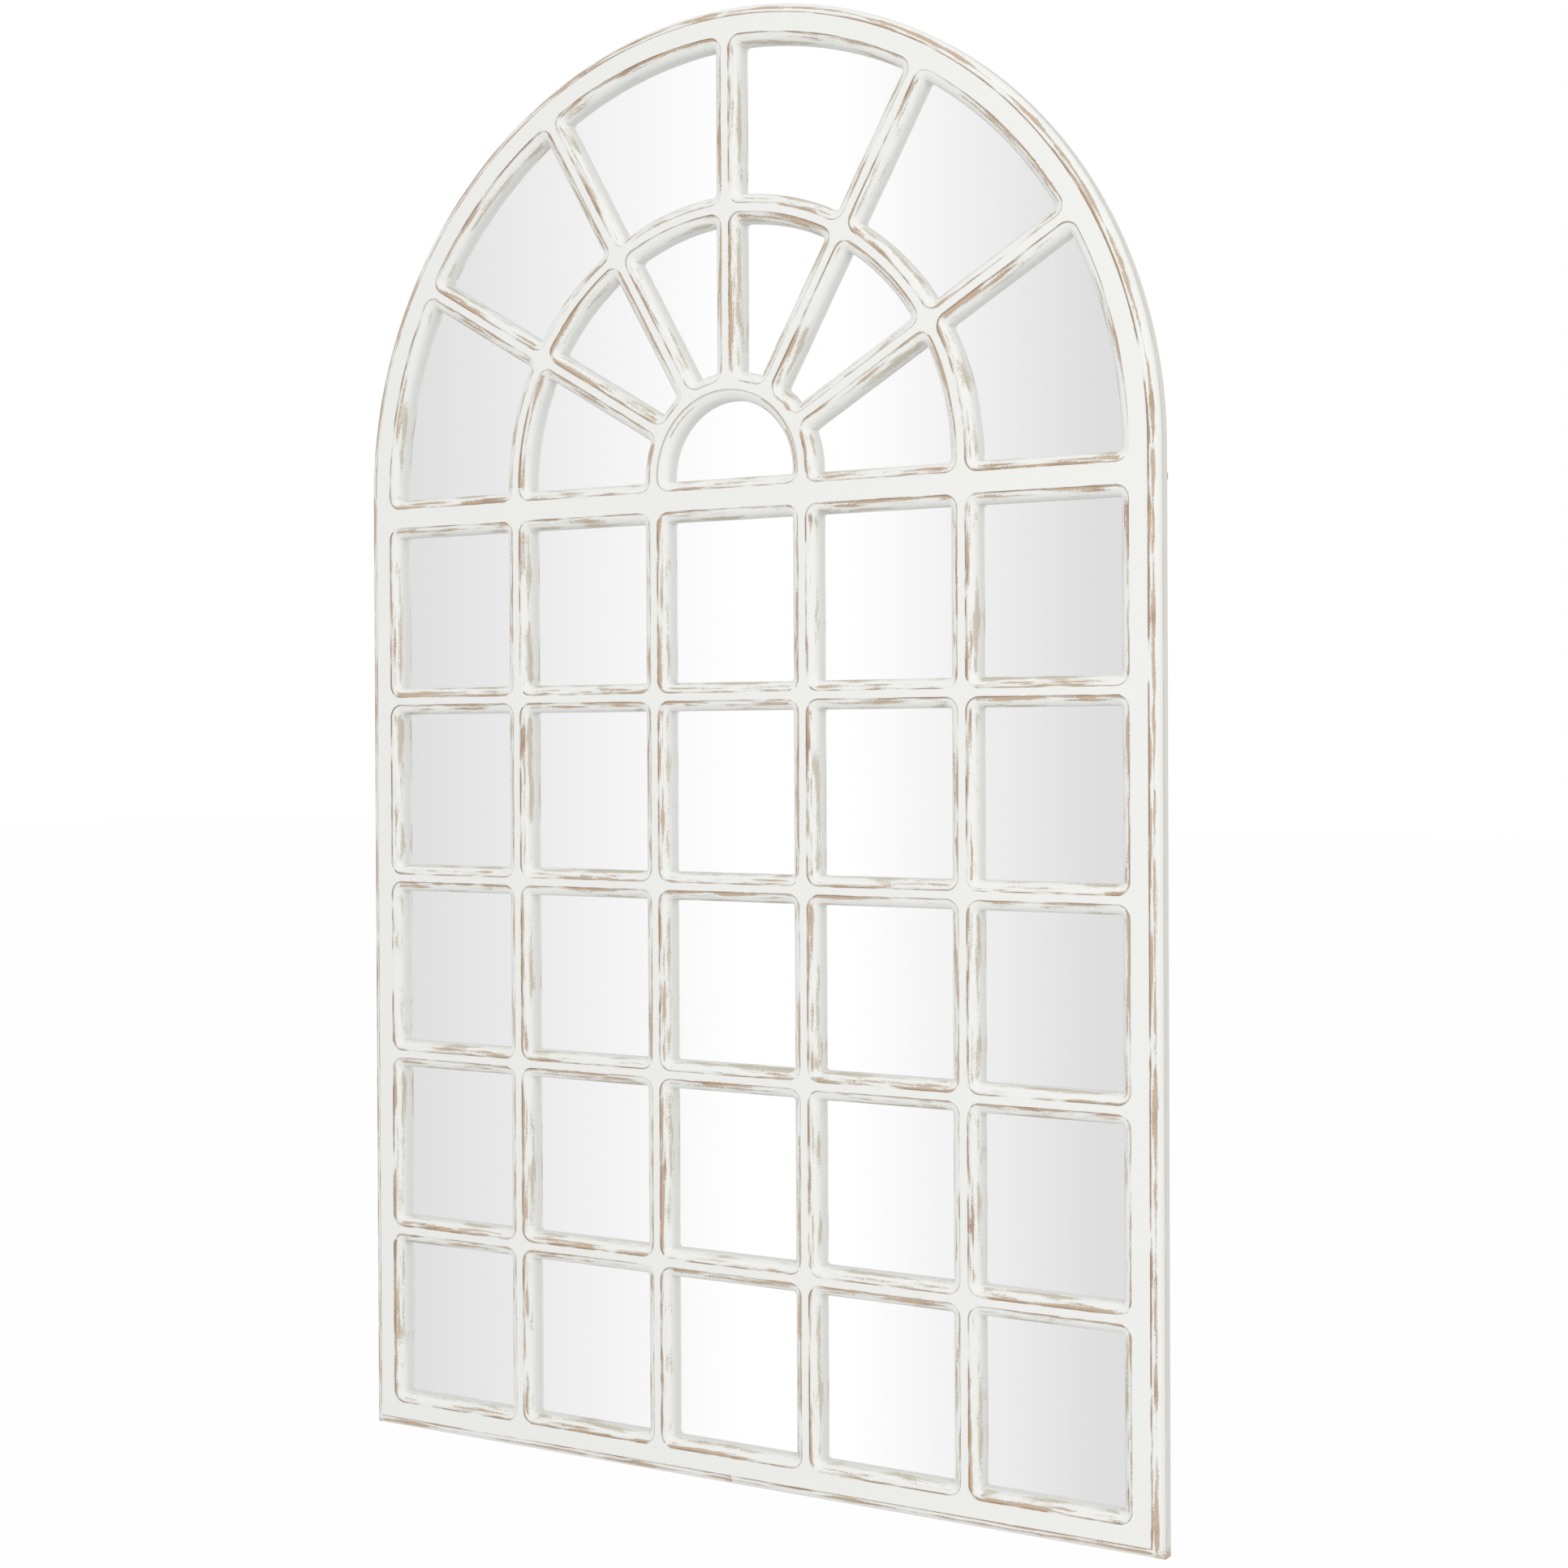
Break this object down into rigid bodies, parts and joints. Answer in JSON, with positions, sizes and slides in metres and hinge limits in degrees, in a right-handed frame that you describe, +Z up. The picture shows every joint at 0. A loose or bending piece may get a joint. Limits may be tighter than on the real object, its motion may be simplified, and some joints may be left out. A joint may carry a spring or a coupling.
{
  "type": "arched window mirror",
  "caption": "Arched wall mirror in a distressed white wooden window-pane frame with a fan of spokes in the round head and ring hangers on the back.",
  "frame": {"origin": "middle of the flat under-side of the bottom edge, halfway across the width", "axes": "+Z up along the height, +X to the right as seen from the front, -Y out of the mirror face towards the viewer"},
  "size_m": [0.813, 0.024, 1.293],
  "materials": {
    "painted_wood": "matt white paint worn through to tan wood on the moulding edges",
    "bare_wood": "bare beech dowel",
    "mirror": "silvered float glass",
    "hardboard": "smooth brown hardboard",
    "zinc_steel": "zinc plated",
    "rubber": "matt black"
  },
  "bodies": {
    "frame": {"arch_dowels": "bare_wood", "arch_rail_1": "painted_wood", "arch_rail_2": "painted_wood", "arch_rail_3": "painted_wood", "arch_rail_4": "painted_wood", "arch_rail_5": "painted_wood", "backing_board": "hardboard", "bottom_rail": "painted_wood", "clip_screws": "zinc_steel", "cross_bars_1": "painted_wood", "cross_bars_2": "painted_wood", "cross_bars_3": "painted_wood", "cross_bars_4": "painted_wood", "frame_dowels": "bare_wood", "hanger_screws": "zinc_steel", "hanger_strap_left": "zinc_steel", "hanger_strap_right": "zinc_steel", "hub_ring": "painted_wood", "inner_spoke_1": "painted_wood", "inner_spoke_2": "painted_wood", "inner_spoke_3": "painted_wood", "inner_spoke_4": "painted_wood", "inner_spoke_5": "painted_wood", "left_stile": "painted_wood", "mirror_glass": "mirror", "muntin_1": "painted_wood", "muntin_2": "painted_wood", "muntin_3": "painted_wood", "muntin_4": "painted_wood", "outer_spoke_1": "painted_wood", "outer_spoke_2": "painted_wood", "outer_spoke_3": "painted_wood", "outer_spoke_4": "painted_wood", "outer_spoke_5": "painted_wood", "rear_arch_strip_1": "painted_wood", "rear_arch_strip_2": "painted_wood", "rear_arch_strip_3": "painted_wood", "rear_arch_strip_4": "painted_wood", "rear_strip_bottom": "painted_wood", "rear_strip_left": "painted_wood", "rear_strip_right": "painted_wood", "retaining_clips": "zinc_steel", "right_stile": "painted_wood", "ring_dowels": "bare_wood", "ring_segment_1": "painted_wood", "ring_segment_2": "painted_wood", "ring_segment_3": "painted_wood", "ring_segment_4": "painted_wood", "ring_segment_5": "painted_wood", "strip_screws": "zinc_steel", "transom_rail": "painted_wood", "wall_pads": "rubber"},
    "ring_left": {"hanger_ring_left": "zinc_steel"},
    "ring_right": {"hanger_ring_right": "zinc_steel"}
  },
  "joints": [
    {"name": "left_ring_hinge", "type": "hinge", "parent": "frame", "child": "ring_left", "pos_m": [-0.3945, 0.00735, 0.866], "axis": [1, 0, 0], "range_deg": [0, 180]},
    {"name": "right_ring_hinge", "type": "hinge", "parent": "frame", "child": "ring_right", "pos_m": [0.3945, 0.00735, 0.866], "axis": [1, 0, 0], "range_deg": [0, 180]}
  ]
}
